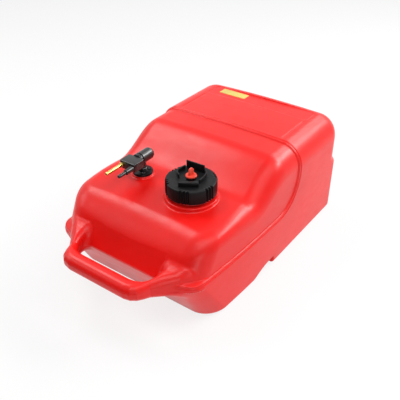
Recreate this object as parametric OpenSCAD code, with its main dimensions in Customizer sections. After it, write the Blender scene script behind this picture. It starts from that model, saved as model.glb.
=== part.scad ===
// Portable outboard fuel tank: a blow-moulded tank with a carrying handle,
// a screw filler cap with a manual air vent, and a swivelling fuel pickup.
// Millimetres. +X is the tank's right, -Y its handle end, +Z up, and z = 0 is the floor.

/* [Tank body] */
// Length of the tank without its handle
body_l = 490; // [460:1:540]
// Width over the moulded band
body_w = 322; // [290:1:350]
// Height of the rear block above the floor
body_h = 216; // [200:1:240]
// Length of the full-height rear block
rear_l = 178; // [150:1:200]
// Wall thickness of the moulding
wall = 3.5; // [2.5:0.1:5]
// How far the hood is set in from the moulded band
hood_in = 4; // [2:0.1:6]
// Height of the moulded band's upper edge
band_z = 97; // [85:1:110]
// Height of the band's own face at the handle end
band_h = 12; // [8:0.5:18]
// Radius of the band's sweep up into the rear block
band_r = 62; // [40:1:80]
// How far the handle-end wall runs back under the band
undercut = 45; // [20:1:60]
// Height lost from the rear block to the deck
deck_drop = 46; // [30:1:60]
// Fall of the deck towards the handle end
deck_fall = 8; // [2:0.5:14]
// Length of the slope from the rear block down to the deck
slope_l = 88; // [70:1:110]
// How much each side draws in at the handle end
side_bow = 12.5; // [4:0.5:20]
// Radius of the big upper edges of the sides and rear
edge_r = 41; // [32:1:44]
// Radius of the edges at the floor
foot_r = 7; // [5:0.5:14]

/* [Carrying handle] */
// How far the handle stands out from the body
handle_reach = 66; // [58:1:90]
// Thickness of the grip bar, front to back
grip_w = 32; // [26:0.5:36]
// Height of the grip bar's section
grip_h = 30; // [24:0.5:34]
// Width of the hand hole
hand_w = 114; // [96:1:140]
// Height of the grip bar's axis above the floor
grip_z = 95; // [85:1:105]
// Width of each handle leg where it joins the body
leg_w = 66; // [44:1:70]

/* [Filler] */
// Distance of the filler from the tank's centre plane
filler_x = 49; // [42:1:58]
// Distance of the filler from the tank's handle-end band
filler_back = 131; // [120:1:145]
// Bore of the filler neck
neck_bore = 62; // [50:0.5:64]
// Outside diameter of the filler neck
neck_d = 74; // [72:0.5:76]
// Height of the filler neck above the deck
neck_h = 31; // [28:0.5:40]
// Diameter of the filler cap
cap_d = 88; // [85:0.5:96]
// Height of the filler cap's skirt
cap_h = 25; // [20:0.5:28]
// Diameter of the vent knob
knob_d = 20; // [16:0.5:24]

/* [Fuel pickup] */
// Distance of the pickup from the tank's centre plane
pickup_x = 66.5; // [60:0.5:80]
// Distance of the pickup from the tank's handle-end band
pickup_back = 141; // [125:1:150]
// Diameter of the pickup flange
flange_d = 37; // [35:0.5:42]
// Height of the elbow barrel's axis above the flange
barrel_up = 26; // [24:0.5:34]
// Diameter of the horizontal elbow barrel
barrel_d = 22; // [18:0.5:24]
// Diameter of the elbow's stem
stem_d = 13; // [11:0.5:14]
// Diameter of the two prongs
prong_d = 6.4; // [5.5:0.1:7.5]
// Distance between the two prongs
prong_pitch = 23; // [20:0.5:26]
// Length of the fuel prong outside its block
prong_l = 40; // [32:0.5:44]

/* [Hidden] */
$fn = 48;

RED = [0.86, 0.12, 0.1];
BLACK = [0.12, 0.12, 0.13];
RUBBER = [0.08, 0.08, 0.08];
BRASS = [0.72, 0.6, 0.25];
STEEL = [0.75, 0.76, 0.78];
YELLOW = [0.93, 0.88, 0.45];

cut = 0.5;
running = 0.05;
seat_gap = 0.15;

// Places that follow from the driving sizes
rear_y = (body_l + handle_reach) / 2;
front_y = rear_y - body_l;
step_y = rear_y - rear_l;
slope_top = step_y - 54;
slope_foot = slope_top - slope_l;
bow_start = front_y + 250;
band_low = band_z - band_h;
rake = 0.52;
nose_r = 19;
body_turn = [45, 41];
tub_turn = [22, 24];
foot_flare = 22;
tub_top = band_z + 14;
crown = 4;
roll_from = slope_foot + 60;
roll_l = 150;
handle_x = 3;
under_cos = cos(atan(undercut / band_low));
slope_cos = 0.93;

// Filler and pickup places
filler_y = front_y + filler_back;
pickup_y = front_y + pickup_back;
ring_up = 3;
ring_d = 97;
boss_d = 42;
boss_in = 10;

// Cap heights above the neck's rim
gasket_t = 2.6;
cap_top_t = 3;
grip_r = 2.2;
guard_t = 2.4;
guard_up = 7;
guard_back_up = 14;
bush_d = 14;
knob_stem_d = 8;
disc_t = 3;
fin_up = 14;
clip_t = 1.3;
barb_l = 26;
vent_ring_t = 1.5;

// Pickup heights and small sizes
gasket_sheet = 1;
flange_t = 4;
screw_ring = 13.2;
screw_d = 3;
screw_head_d = 6.4;
collar_d = 19;
passage_d = 5;
block_w = 34;
block_l = 26;
block_h = 16;
block_at = 14;
spigot_d = 12;
spigot_l = 8;
tube_d = 10;
tube_bore = 7;

// Label strip across the rear block
strip_w = body_w - 90;
strip_l = 40;
strip_back = 78;
strip_deep = 3;
label_t = 0.6;
label_w = 61;
label_l = 21;
label_edge = 21;
label_back = 5.5;

// A smooth step from 0 to 1
function ease(t) = let (s = min(1, max(0, t))) s * s * (3 - 2 * s);

// Height of the roof over a place along the tank
function roof(y) = body_h - deck_drop * ease((slope_top - y) / slope_l)
    - deck_fall * max(0, slope_foot - y) / (slope_foot - front_y);

// Half width of the tank at a place along it
function side(y) = body_w / 2
    - side_bow * pow(max(0, bow_start - y) / (bow_start - front_y), 2);

// Place of the handle-end wall at a height
function nose(z) = front_y + rake * max(0, z - band_z)
    + undercut * max(0, band_low - z) / band_low;

// Two overlapping sides with the edge between them rounded to r
function rounded(a, b, r) = norm([max(0, a + r), max(0, b + r)]) - r + min(0, max(a, b) + r);

// How far a point lies outside the full-size body with the given upright corner radii
function outside(p, turn) =
    let (
        front_q = (nose(p.z) - p.y) * (p.z < band_low ? under_cos : 1),
        front_r = turn[0] + foot_flare * max(0, band_z - p.z) / band_z,
        plan = rounded(rounded(abs(p.x) - side(p.y), front_q, front_r), p.y - rear_y, turn[1]),
        top_q = (p.z - roof(p.y)) * slope_cos + crown * pow(2 * p.x / body_w, 2),
        roll = edge_r + (nose_r - edge_r) * ease((roll_from - p.y) / roll_l)
    )
    rounded(rounded(plan, top_q, roll), -p.z, foot_r);

// Walks from a point inside along a ray until it meets the surface set in by an amount
function walk(p, ray, inset, turn, steps) =
    steps == 0 ? p : walk(p - ray * (outside(p, turn) + inset), ray, inset, turn, steps - 1);

// Half of a ring round the tank: [share of the flat width, height share, ray angle]
function half_ring(fine) = concat(
    [[1 / 3, 1, 90]],
    [for (i = [0:fine]) [1, 1, 90 - 90 * i / fine]],
    [for (i = [1:2]) [1, 1 - i / 2, 0]],
    [for (i = [1:3]) [1, 0, -4 * i]],
    [[1, 0, -90], [1 / 3, 0, -90]]
);

// Rings along the tank: [place, fan angle], from the handle end to the rear
function rings(fine) =
    let (
        a = front_y + edge_r,
        first = front_y + undercut + edge_r + 6,
        last = rear_y - edge_r
    )
    concat(
        [for (i = [0:fine]) [a, -84 + 84 * i / fine]],
        [for (i = [0:2]) [first + (slope_foot - 8 - first) * i / 2, 0]],
        [for (i = [1:8]) [slope_foot + (slope_top - slope_foot) * i / 8, 0]],
        [for (i = [1:2]) [slope_top + (last - slope_top) * i / 2, 0]],
        [for (i = [1:fine]) [last, 84 * i / fine]]
    );

// A point of the surface, from its ring, its place on the half ring and its side
function skin(ring, spot, hand, inset, turn) =
    let (
        high = roof(ring.x) - edge_r,
        z = foot_r + (high - foot_r) * spot.y,
        y = ring.x + (ring.x == front_y + edge_r ? nose(z) - front_y : 0),
        x = hand * (side(y) - edge_r) * spot.x,
        ray = [hand * cos(spot.z) * cos(ring.y), sin(ring.y), sin(spot.z) * cos(ring.y)]
    )
    walk([x, y, z], ray, inset, turn, 16);

// The body's skin set in by an amount, as one closed form
module body_form(inset, fine, turn) {
    half = half_ring(fine);
    along = rings(fine);
    m = len(half);
    n = len(along);
    points = [for (r = along) each concat(
        [for (s = half) skin(r, s, 1, inset, turn)],
        [for (i = [m - 1:-1:0]) skin(r, half[i], -1, inset, turn)]
    )];
    far = (n - 1) * 2 * m;
    last = 2 * m - 1;
    faces = concat(
        [for (r = [0:n - 2], k = [0:last])
            let (a = r * 2 * m + k, b = r * 2 * m + (k + 1) % (2 * m))
            each [[a, a + 2 * m, b], [b, a + 2 * m, b + 2 * m]]],
        [for (k = [0:m - 2]) each [
            [k, k + 1, last - k], [k + 1, last - k - 1, last - k]]],
        [for (k = [0:m - 2]) each [
            [far + k + 1, far + k, far + last - k],
            [far + k + 1, far + last - k, far + last - k - 1]]]
    );
    polyhedron(points, faces, convexity = 8);
}

// A side-view outline, given as [y, z] points, carried across the whole width
module across(outline, wide) {
    translate([wide / 2, 0, 0]) rotate([90, 0, -90]) mirror([1, 0, 0])
        linear_extrude(wide) polygon(outline);
}

// Everything from just above the floor to the band's edge and behind its sweep into the rear block
module full_region() {
    far = 2 * body_l;
    near_floor = 30;
    across(concat(
        [[-far, near_floor], [-far, band_z]],
        [for (i = [0:8]) let (t = -90 + 90 * i / 8)
            [step_y - band_r + band_r * cos(t), band_z + band_r + band_r * sin(t)]],
        [[step_y, far], [far, far], [far, near_floor]]
    ), 2 * body_w);
}

// The finger recess across the rear face
module grip_recess() {
    half_w = body_w / 2 - 35;
    deep = 20;
    translate([-half_w, rear_y - deep, tub_top]) cube([2 * half_w, 2 * deep, 54]);
}

// The arch across the underside, grown by an amount
module floor_arch(grow) {
    peak = 16;
    mid = 18;
    run = 63;
    r = (run * run + peak * peak) / (2 * peak);
    across(concat(
        [[mid - run - grow, -peak]],
        [for (i = [0:6]) let (t = -28.5 * (1 - i / 6))
            [mid - grow * (1 - i / 6) + r * sin(t), grow + peak - r * (1 - cos(t))]],
        [[mid + 4 + grow, peak - 1 + grow], [mid + 6 + grow, -peak]]
    ), 2 * body_w);
}

// One section of the handle between an inner and an outer plan point, deepened below by sink
function handle_ring(inner, outer, sink) =
    let (mid = (inner + outer) / 2, half = (outer - inner) / 2, n = 14)
    [for (i = [0:n - 1]) let (
            t = 360 * i / n,
            c = sign(cos(t)) * pow(abs(cos(t)), 0.8),
            s = sign(sin(t)) * pow(abs(sin(t)), 0.8))
        [mid.x + half.x * c, mid.y + half.y * c, grip_z + (grip_h / 2 + (s < 0 ? sink : 0)) * s]];

// The carrying handle: a bar and two splayed legs, as one swept form
module handle_form() {
    bar_in = front_y - handle_reach + grip_w;
    bar_out = front_y - handle_reach;
    hw = hand_w / 2;
    r = 8;
    half = concat(
        [[[0, bar_in], [0, bar_out], 0]],
        [for (i = [0:4]) let (
                t = 22.5 * i,
                out = [[hw + 2, bar_out], [hw + 14, bar_out + 3], [hw + 23, bar_out + 10.5],
                    [hw + 28, bar_out + 20.5], [hw + 31.5, bar_out + 32]][i])
            [[hw - r + r * sin(t), bar_in + r - r * cos(t)], out, i]],
        [
            [[hw, front_y - 18], [hw + leg_w - 22, front_y - 18], 7],
            [[hw, front_y], [hw + leg_w - 5, front_y], 11],
            [[hw, front_y + 22], [hw + leg_w + 4, front_y + 22], 12]
        ]
    );
    n = 14;
    m = len(half);
    flip = [for (i = [m - 1:-1:1])
        [[-half[i][0].x, half[i][0].y], [-half[i][1].x, half[i][1].y], half[i][2]]];
    all = concat(flip, half);
    points = [for (s = all) each handle_ring([handle_x, 0] + s[0], [handle_x, 0] + s[1], s[2])];
    count = len(all);
    faces = concat(
        [for (r = [0:count - 2], k = [0:n - 1])
            let (a = r * n + k, b = r * n + (k + 1) % n)
            each [[a, b, a + n], [b, b + n, a + n]]],
        [[for (k = [n - 1:-1:0]) k]],
        [[for (k = [0:n - 1]) (count - 1) * n + k]]
    );
    polyhedron(points, faces, convexity = 6);
}

// Rounded rectangle on its own centre
module pad(w, l, r) {
    square([w - 2 * r, l], center = true);
    square([w, l - 2 * r], center = true);
    for (x = [-1, 1], y = [-1, 1]) translate([x * (w / 2 - r), y * (l / 2 - r)]) circle(r, $fn = 32);
}

deck_z = roof(filler_y) - hood_in;
ring_z = deck_z + ring_up;
rim_z = deck_z + neck_h;
strip_y = rear_y - strip_back + strip_l / 2;

module tank_outer() {
    difference() {
        union() {
            difference() {
                intersection() {
                    body_form(0, 6, body_turn);
                    full_region();
                }
                grip_recess();
            }
            intersection() {
                body_form(0, 7, tub_turn);
                union() {
                    translate([-body_w, step_y, 0]) cube([2 * body_w, body_l, tub_top]);
                    translate([-body_w, front_y - 1, 0]) cube([2 * body_w, body_l, band_z]);
                }
            }
            body_form(hood_in, 6, body_turn);
            handle_form();
        }
        floor_arch(0);
    }
}

module tank_inner() {
    difference() {
        union() {
            body_form(hood_in + wall, 4, body_turn);
            intersection() {
                body_form(wall, 4, body_turn);
                translate([-body_w, -body_l, 0]) cube([2 * body_w, 2 * body_l, band_z - wall]);
            }
        }
        floor_arch(wall);
        translate([-pickup_x, pickup_y, deck_z - boss_in]) cylinder(d = boss_d, h = 3 * boss_in);
    }
}

// Blow-moulded body with its handle, filler neck and pickup boss
module tank_shell() {
    color(RED) difference() {
        union() {
            minkowski() { tank_outer(); }
            translate([filler_x, filler_y, deck_z - wall]) cylinder(d = ring_d, h = ring_up + wall);
            translate([filler_x, filler_y, deck_z - wall]) cylinder(d = neck_d, h = neck_h + wall);
            translate([-pickup_x, pickup_y, deck_z - wall]) cylinder(d = boss_d, h = ring_up + wall);
        }
        minkowski() { tank_inner(); }
        translate([filler_x, filler_y, deck_z - 2 * wall]) cylinder(d = neck_bore, h = neck_h + 4 * wall);
        translate([-pickup_x, pickup_y, deck_z - 2 * boss_in]) cylinder(d = collar_d + 1, h = 3 * boss_in);
        for (i = [0:3]) translate([-pickup_x, pickup_y, ring_z - boss_in + 2]) rotate([0, 0, 45 + 90 * i])
            translate([screw_ring, 0, 0]) cylinder(d = screw_d, h = boss_in, $fn = 24);
        translate([0, strip_y, body_h - strip_deep]) linear_extrude(2 * strip_deep)
            pad(strip_w, strip_l, 8);
    }
}

cap_low = rim_z + gasket_t + seat_gap + running;
cap_high = cap_low + cap_top_t;
cap_bore = neck_d + 2.4;
seat_z = ring_z + gasket_sheet + flange_t;
barrel_z = seat_z + barrel_up;
barrel_r = barrel_d / 2;
clip_z = ring_z + gasket_sheet - seat_gap - clip_t;

// Moves a part from the filler's own axis to its place on the deck
module at_filler(z) {
    translate([filler_x, filler_y, z]) children();
}

// Moves a part from the pickup's own axis to its place on the deck
module at_pickup(z) {
    translate([-pickup_x, pickup_y, z]) children();
}

module ring(outer, inner, high) {
    difference() {
        cylinder(d = outer, h = high);
        translate([0, 0, -cut]) cylinder(d = inner, h = high + 2 * cut);
    }
}

// Screw cap with grouped finger grooves and the guard that shields the vent knob
module filler_cap() {
    color(BLACK) at_filler(0) {
        difference() {
            union() {
                translate([0, 0, cap_high - cap_h]) cylinder(d = cap_d, h = cap_h - 1.5, $fn = 96);
                translate([0, 0, cap_high - 1.5]) cylinder(d1 = cap_d, d2 = cap_d - 3, h = 1.5, $fn = 96);
            }
            translate([0, 0, cap_high - cap_h - cut]) cylinder(d = cap_bore, h = cap_h - cap_top_t + cut);
            translate([0, 0, cap_low - cut]) cylinder(d = bush_d, h = 2 * cap_top_t);
            for (i = [0:5], k = [-1:1]) rotate([0, 0, 60 * i + 8 * k - 10])
                translate([cap_d / 2 + 0.6, 0, cap_high - cap_h - cut])
                    cylinder(r = grip_r, h = cap_h + 2 * cut, $fn = 16);
        }
        translate([0, 0, cap_high - cut]) guard();
    }
}

// A wall's plan along a line of points
module fence(line, thick) {
    last = len(line) - 1;
    side_step = [for (i = [0:last]) let (d = line[min(i + 1, last)] - line[max(i - 1, 0)])
        [-d.y, d.x] * thick / (2 * norm(d))];
    polygon(concat([for (i = [0:last]) line[i] + side_step[i]],
        [for (i = [last:-1:0]) line[i] - side_step[i]]));
}

// Fence round the vent knob: a tall back wall, a curved wall each side and a thick front plate
module guard() {
    linear_extrude(guard_back_up + cut) fence([[-27.5, 25.4], [7.5, 27.4]], guard_t);
    linear_extrude(guard_up + cut) {
        fence([[10.5, 26], [15.4, 21.5], [18.2, 15], [19.8, 6], [20, -4]], guard_t);
        fence([[-26, 13], [-28.4, 6], [-28.2, 0], [-24, -6], [-17.5, -10.5]], guard_t);
        polygon([[-5, -30], [-1.6, -32.4], [26, -14], [19.6, -9]]);
    }
}

// Flat sealing ring under the cap, on the neck's rim
module cap_gasket() {
    color(RUBBER) at_filler(rim_z + seat_gap) ring(neck_d - 0.6, neck_bore + 3, gasket_t);
}

// Pressed-in bush that carries the vent knob
module vent_bush() {
    color(BLACK) at_filler(0) difference() {
        union() {
            translate([0, 0, cap_low - 2.2]) cylinder(d = bush_d, h = cap_top_t + 2.2);
            translate([0, 0, cap_high]) cylinder(d = bush_d + 4, h = 2.5);
        }
        translate([0, 0, cap_low - 3]) cylinder(d = knob_stem_d + 2 * running, h = 3 * cap_top_t);
    }
}

// Splash plate under the cap, held by the bush
module vent_baffle() {
    color(BLACK) at_filler(cap_low - 1.6) difference() {
        ring(34, bush_d, 1.6);
        for (i = [0:5]) rotate([0, 0, 60 * i]) translate([12, 0, -cut])
            cylinder(d = 3, h = 3, $fn = 24);
    }
}

bush_top = cap_high + 2.5;

// Sealing ring between the vent knob and its bush
module vent_oring() {
    color(RUBBER) at_filler(bush_top + running) ring(knob_stem_d + 6, knob_stem_d + 0.3, vent_ring_t);
}

// Red vent knob: a disc with an upright thumb fin and a hollow stem
module vent_knob() {
    low = bush_top + vent_ring_t + 2 * running;
    color(RED) at_filler(0) difference() {
        union() {
            translate([0, 0, low]) cylinder(d = knob_d, h = disc_t - 0.8);
            translate([0, 0, low + disc_t - 0.8]) cylinder(d1 = knob_d, d2 = knob_d - 1.6, h = 0.8);
            translate([0, 0, cap_low - 2.2]) cylinder(d = knob_stem_d, h = low - cap_low + 2.2 + cut);
            rotate([0, 0, 35]) translate([0, 1.8, low + disc_t - cut]) rotate([90, 0, 0])
                linear_extrude(3.6) union() {
                    translate([-5.2, 0]) square([10.4, fin_up - 4.7]);
                    translate([0, fin_up - 5.2]) circle(5.2);
                }
        }
        translate([0, 0, cap_low - 3]) cylinder(d = 3, h = bush_top - cap_low + 1);
        translate([0, 0, bush_top - 2.4]) rotate([90, 0, 0]) translate([0, 0, -10])
            cylinder(d = 1.6, h = 20, $fn = 24);
    }
}

// Flange screwed to the deck, with the collar the elbow turns in
module pickup_flange() {
    color(BLACK) at_pickup(seat_z - flange_t) difference() {
        union() {
            cylinder(d = flange_d, h = flange_t - 0.8);
            translate([0, 0, flange_t - 0.8]) cylinder(d1 = flange_d, d2 = flange_d - 1.6, h = 0.8);
            cylinder(d = collar_d - 1, h = flange_t + 3);
        }
        translate([0, 0, -cut]) cylinder(d = stem_d + 2 * running, h = 3 * flange_t);
        for (i = [0:3]) rotate([0, 0, 45 + 90 * i]) translate([screw_ring, 0, -cut])
            cylinder(d = screw_d, h = 2 * flange_t, $fn = 24);
    }
}

module flange_gasket() {
    color(RUBBER) at_pickup(ring_z) difference() {
        ring(flange_d - 1, collar_d + 1, gasket_sheet);
        for (i = [0:3]) rotate([0, 0, 45 + 90 * i]) translate([screw_ring, 0, -cut])
            cylinder(d = screw_d, h = 3, $fn = 24);
    }
}

// Four screws through the flange into the boss
module flange_screws() {
    color(STEEL) at_pickup(0) for (i = [0:3]) rotate([0, 0, 45 + 90 * i])
        translate([screw_ring, 0, 0]) difference() {
            union() {
                translate([0, 0, ring_z - boss_in + 3])
                    cylinder(d = screw_d, h = seat_z - ring_z + boss_in - 3);
                translate([0, 0, seat_z])
                    cylinder(d1 = screw_head_d, d2 = screw_head_d - 2, h = 2, $fn = 32);
            }
            for (t = [0, 90]) rotate([0, 0, t]) translate([-1.6, -0.4, seat_z + 1])
                cube([3.2, 0.8, 2]);
        }
}

// Elbow: an upright stem that turns in the flange and a level barrel across its top
module elbow_body() {
    front = -block_at;
    dome_l = 9;
    dome = barrel_d + 4 - dome_l;
    color(BLACK) at_pickup(0) difference() {
        union() {
            translate([0, 0, ring_z - barb_l]) cylinder(d = tube_bore, h = barb_l + 2);
            translate([0, 0, ring_z - 3]) cylinder(d = stem_d, h = barrel_z - ring_z + 3);
            translate([0, 0, seat_z + 3 + seat_gap]) cylinder(d = stem_d + 3, h = 3);
            translate([0, 0, barrel_z]) rotate([-90, 0, 0]) rotate_extrude() polygon(concat(
                [[0, front - spigot_l], [spigot_d / 2, front - spigot_l], [spigot_d / 2, front],
                    [barrel_r - 1, front], [barrel_r, front + 1], [barrel_r, -8], [8.6, -8], [8.6, -6],
                    [barrel_r, -6], [barrel_r, dome]],
                [for (i = [1:7]) let (t = 90 * i / 7) [barrel_r * cos(t), dome + dome_l * sin(t)]]
            ));
        }
        translate([0, 0, ring_z - barb_l - cut])
            cylinder(d = passage_d - 0.5, h = barrel_z - ring_z + barb_l + cut);
        translate([0, 1, barrel_z]) rotate([90, 0, 0]) cylinder(d = passage_d, h = 30);
        translate([0, 0, seat_z - 3.2]) ring(stem_d + 1, stem_d - 2.6, 1.6);
        translate([0, 0, clip_z]) ring(stem_d + 1, stem_d - 3, clip_t);
        translate([0, front - spigot_l + 3, barrel_z]) rotate([-90, 0, 0])
            ring(spigot_d + 1, spigot_d - 3, 1.8);
    }
}

module swivel_oring() {
    color(RUBBER) at_pickup(seat_z - 3.2) ring(stem_d, stem_d - 2.6, 1.6);
}

// Spring clip that keeps the stem in the flange
module swivel_clip() {
    color(STEEL) at_pickup(clip_z) difference() {
        ring(collar_d - 1, stem_d - 3, clip_t);
        rotate([0, 0, 70]) translate([0, 0, -cut]) linear_extrude(3)
            polygon([[0, 0], [12, -6], [12, 6]]);
    }
}

// Block that joins the barrel to the two prongs
module connector_block() {
    back = pickup_y - block_at;
    bore_x = prong_pitch / 2;
    color(BLACK) translate([-pickup_x, back, barrel_z]) difference() {
        translate([0, -block_l / 2, 0]) intersection() {
            translate([0, 0, -block_h / 2]) linear_extrude(block_h) pad(block_w, block_l, 3);
            rotate([90, 0, 0]) translate([0, 0, -block_l / 2]) linear_extrude(block_l)
                pad(block_w, block_h, 2);
        }
        translate([0, cut, 0]) rotate([90, 0, 0]) cylinder(d = spigot_d, h = spigot_l + cut);
        for (x = [-bore_x, bore_x]) translate([x, -block_l - cut, 0]) rotate([-90, 0, 0])
            cylinder(d = prong_d, h = 12 + cut);
        translate([0, -spigot_l + cut, 0]) rotate([90, 0, 0]) cylinder(d = passage_d, h = 5);
        translate([-bore_x, -11, 0]) rotate([0, 90, 0]) cylinder(d = 3.4, h = bore_x + 1);
        translate([-bore_x, -9.5, 0]) rotate([90, 0, 0]) cylinder(d = 3.4, h = 5);
    }
}

module block_oring() {
    color(RUBBER) translate([-pickup_x, pickup_y - block_at - spigot_l + 3, barrel_z])
        rotate([-90, 0, 0]) ring(spigot_d, spigot_d - 3, 1.8);
}

// Brass prong that carries the fuel
module fuel_prong() {
    face = pickup_y - block_at - block_l;
    r = prong_d / 2;
    color(BRASS) translate([-pickup_x - prong_pitch / 2, face, barrel_z]) rotate([90, 0, 0])
        difference() {
            rotate_extrude() polygon([[0, -12], [r, -12], [r, 0], [r + 1.4, 0], [r + 1.4, 3.5], [r, 3.5],
                [r, prong_l - 7.5], [r - 0.9, prong_l - 7], [r - 0.9, prong_l - 4.5],
                [r, prong_l - 4], [r, prong_l - 1.4], [r - 0.5, prong_l - 0.4],
                [r - 1.3, prong_l], [0, prong_l]]);
            translate([0, 0, -13]) cylinder(d = 3, h = prong_l + 14);
        }
}

// Black stepped guide pin beside the prong
module guide_pin() {
    face = pickup_y - block_at - block_l;
    r = prong_d / 2;
    l = prong_l - 5;
    color(BLACK) translate([-pickup_x + prong_pitch / 2, face, barrel_z]) rotate([90, 0, 0])
        rotate_extrude() polygon([[0, -12], [r, -12], [r, 0], [r + 1.8, 0], [r + 1.8, 17], [r + 1.2, 17.6],
            [r, 17.6], [r, l - 1.5], [r - 1.5, l], [0, l]]);
}

strainer_z = hood_in + wall + 2;
tube_low = strainer_z + 26;
tube_top = ring_z - 6;

// Suction tube from the stem's barb to the bottom of the tank
module dip_tube() {
    color([0.85, 0.85, 0.8]) at_pickup(tube_low) ring(tube_d, tube_bore, tube_top - tube_low);
}

module tube_clip() {
    color(STEEL) at_pickup(tube_top - 15) difference() {
        union() {
            ring(tube_d + 1.6, tube_d, 5);
            for (y = [-2.2, 1.2]) translate([tube_d / 2, y, 0]) cube([5, 1, 5]);
        }
        translate([tube_d / 2 - 0.6, -1.2, -cut]) cube([3, 2.4, 6]);
    }
}

// Strainer cage gripping the tube's lower end
module strainer_cage() {
    color([0.9, 0.9, 0.86]) at_pickup(strainer_z) difference() {
        cylinder(d = tube_d + 5, h = 38);
        translate([0, 0, 26]) cylinder(d = tube_d, h = 13);
        translate([0, 0, 2]) cylinder(d = tube_d + 2, h = 22);
        translate([0, 0, 20]) cylinder(d = tube_d - 2, h = 10);
        for (i = [0:5], k = [0:1]) rotate([0, 0, 60 * i]) translate([0, -2.5, 4 + 9.5 * k])
            cube([12, 5, 7.5]);
    }
}

module strainer_mesh() {
    color(STEEL) at_pickup(strainer_z + 2) ring(tube_d + 2, tube_d + 1.2, 22);
}

// Blank printed label in the strip across the rear block
module rear_label() {
    color(YELLOW)
        translate([label_edge + label_w / 2 - strip_w / 2, strip_y + label_back, body_h - strip_deep])
            linear_extrude(label_t) pad(label_w, label_l, 1.5);
}

tank_shell();
filler_cap();
cap_gasket();
vent_baffle();
vent_knob();
vent_oring();
vent_bush();
pickup_flange();
flange_gasket();
flange_screws();
elbow_body();
swivel_oring();
swivel_clip();
connector_block();
block_oring();
fuel_prong();
guide_pin();
dip_tube();
tube_clip();
strainer_cage();
strainer_mesh();
rear_label();
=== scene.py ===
"""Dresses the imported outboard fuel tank: moulded skin, cap, vent, pickup, finishes and studio."""

from math import atan2, cos, degrees, pi, radians, sin, sqrt

import bmesh
import bpy
import numpy as np
from bpy.props import FloatProperty, FloatVectorProperty, PointerProperty
from bpy.types import Operator, Panel, PropertyGroup
from mathutils import Matrix, Vector


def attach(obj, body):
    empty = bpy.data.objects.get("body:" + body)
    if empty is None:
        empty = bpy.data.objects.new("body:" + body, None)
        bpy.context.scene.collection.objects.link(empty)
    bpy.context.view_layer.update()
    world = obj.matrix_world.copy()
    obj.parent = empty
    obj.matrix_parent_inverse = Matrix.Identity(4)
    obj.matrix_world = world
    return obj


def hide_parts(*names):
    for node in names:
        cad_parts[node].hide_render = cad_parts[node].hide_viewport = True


bl_info = {
    "name": "Outboard Fuel Tank",
    "version": (1, 0, 0),
    "blender": (4, 5, 0),
    "location": "View3D > Sidebar > Fuel Tank",
    "description": "Builds the moulded skin, cap, vent and fuel pickup of a portable tank",
    "category": "Add Mesh",
}

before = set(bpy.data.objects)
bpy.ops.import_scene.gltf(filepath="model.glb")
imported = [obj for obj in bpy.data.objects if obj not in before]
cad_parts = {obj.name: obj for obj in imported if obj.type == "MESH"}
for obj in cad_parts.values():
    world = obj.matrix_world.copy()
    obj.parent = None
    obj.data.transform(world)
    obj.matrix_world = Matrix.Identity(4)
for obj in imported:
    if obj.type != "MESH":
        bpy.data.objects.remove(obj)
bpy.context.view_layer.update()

MM = 0.001

# The body, in millimetres, with y running from the handle end to the rear
BODY_LENGTH = 490.0
BODY_WIDTH = 322.0
BODY_HEIGHT = 216.0
HANDLE_REACH = 66.0
REAR_BLOCK = 178.0
LEDGE = 54.0
REAR = (BODY_LENGTH + HANDLE_REACH) / 2
FRONT = REAR - BODY_LENGTH
STEP = REAR - REAR_BLOCK
SLOPE_TOP = STEP - LEDGE
SLOPE_LENGTH = 88.0
SLOPE_FOOT = SLOPE_TOP - SLOPE_LENGTH
SLOPE_RUN_OUT = 9.0
SLOPE_COS = 0.93
DECK_DROP = 46.0
DECK_FALL = 8.0
SIDE_BOW = 12.5
BOW_START = FRONT + 250.0
CROWN = 4.0
CROWN_FADE = 120.0
RAKE = 0.52
RAKE_COS = 0.887

# The raised band round the tub, and the hood set in above it
BAND_HEIGHT = 97.0
BAND_LOW = 85.0
BAND_SWEEP = 62.0
LIP_WIDTH = 4.6
LIP_INSET = 1.5
HOOD_INSET = 4.0
UNDERCUT = 45.0
UNDER_COS = cos(atan2(UNDERCUT, BAND_LOW))

# Radii of the rolled edges and the upright corners
EDGE_RADIUS = 41.0
NOSE_RADIUS = 26.0
NOSE_BULGE = 15.0
NOSE_HALF_WIDTH = 150.0
ROLL_START = SLOPE_FOOT + 60.0
ROLL_FADE = 150.0
FOOT_RADIUS = 7.0
HOOD_CORNER = 45.0
BAND_CORNER = 27.0
TUB_FLARE = 11.0
REAR_CORNER = 41.0
REAR_TUB_CORNER = 24.0

# Details moulded into the body
RECESS_DEPTH = 3.6
RECESS_LOW = 111.0
RECESS_HIGH = 168.0
RECESS_HALF_WIDTH = 127.0
CREASE_X = 114.0
CREASE_DEPTH = 0.7
STRIP_PLACE = 220.0
STRIP_HALF_WIDTH = 116.0
STRIP_HALF_LENGTH = 20.0
STRIP_DEPTH = 3.0
ARCH_PLACE = 18.0
ARCH_END = 24.0
ARCH_HALF_LENGTH = 63.0
ARCH_RISE = 16.0

# The carrying handle
HANDLE_X = 3.0
GRIP_HEIGHT = 95.0
GRIP_HALF_DEPTH = 15.0
GRIP_ROUNDING = 13.0
ROOT_FILLET = 12.0
ROOT_SINK = 11.0
ROOT_RISE = 6.0
LEG_GAP_HALF = 98.0

# The filler neck and the pickup boss
FILLER = (49.0, FRONT + 131.0)
PICKUP = (-66.5, FRONT + 141.0)
NECK_BORE = 31.0
NECK_RADIUS = 37.0
NECK_RING = 46.0
NECK_RING_LIFT = 3.0
BOSS_BORE = 10.0
BOSS_RADIUS = 19.5
CAP_HEIGHT = 25.0
CAP_ROOT = 38.2
SCREW_CIRCLE = 13.2
BLOCK_BACK = 14.0
BLOCK_LENGTH = 26.0
PRONG_OFFSET = 11.5
LABEL = (-64.5, 225.5)

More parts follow.
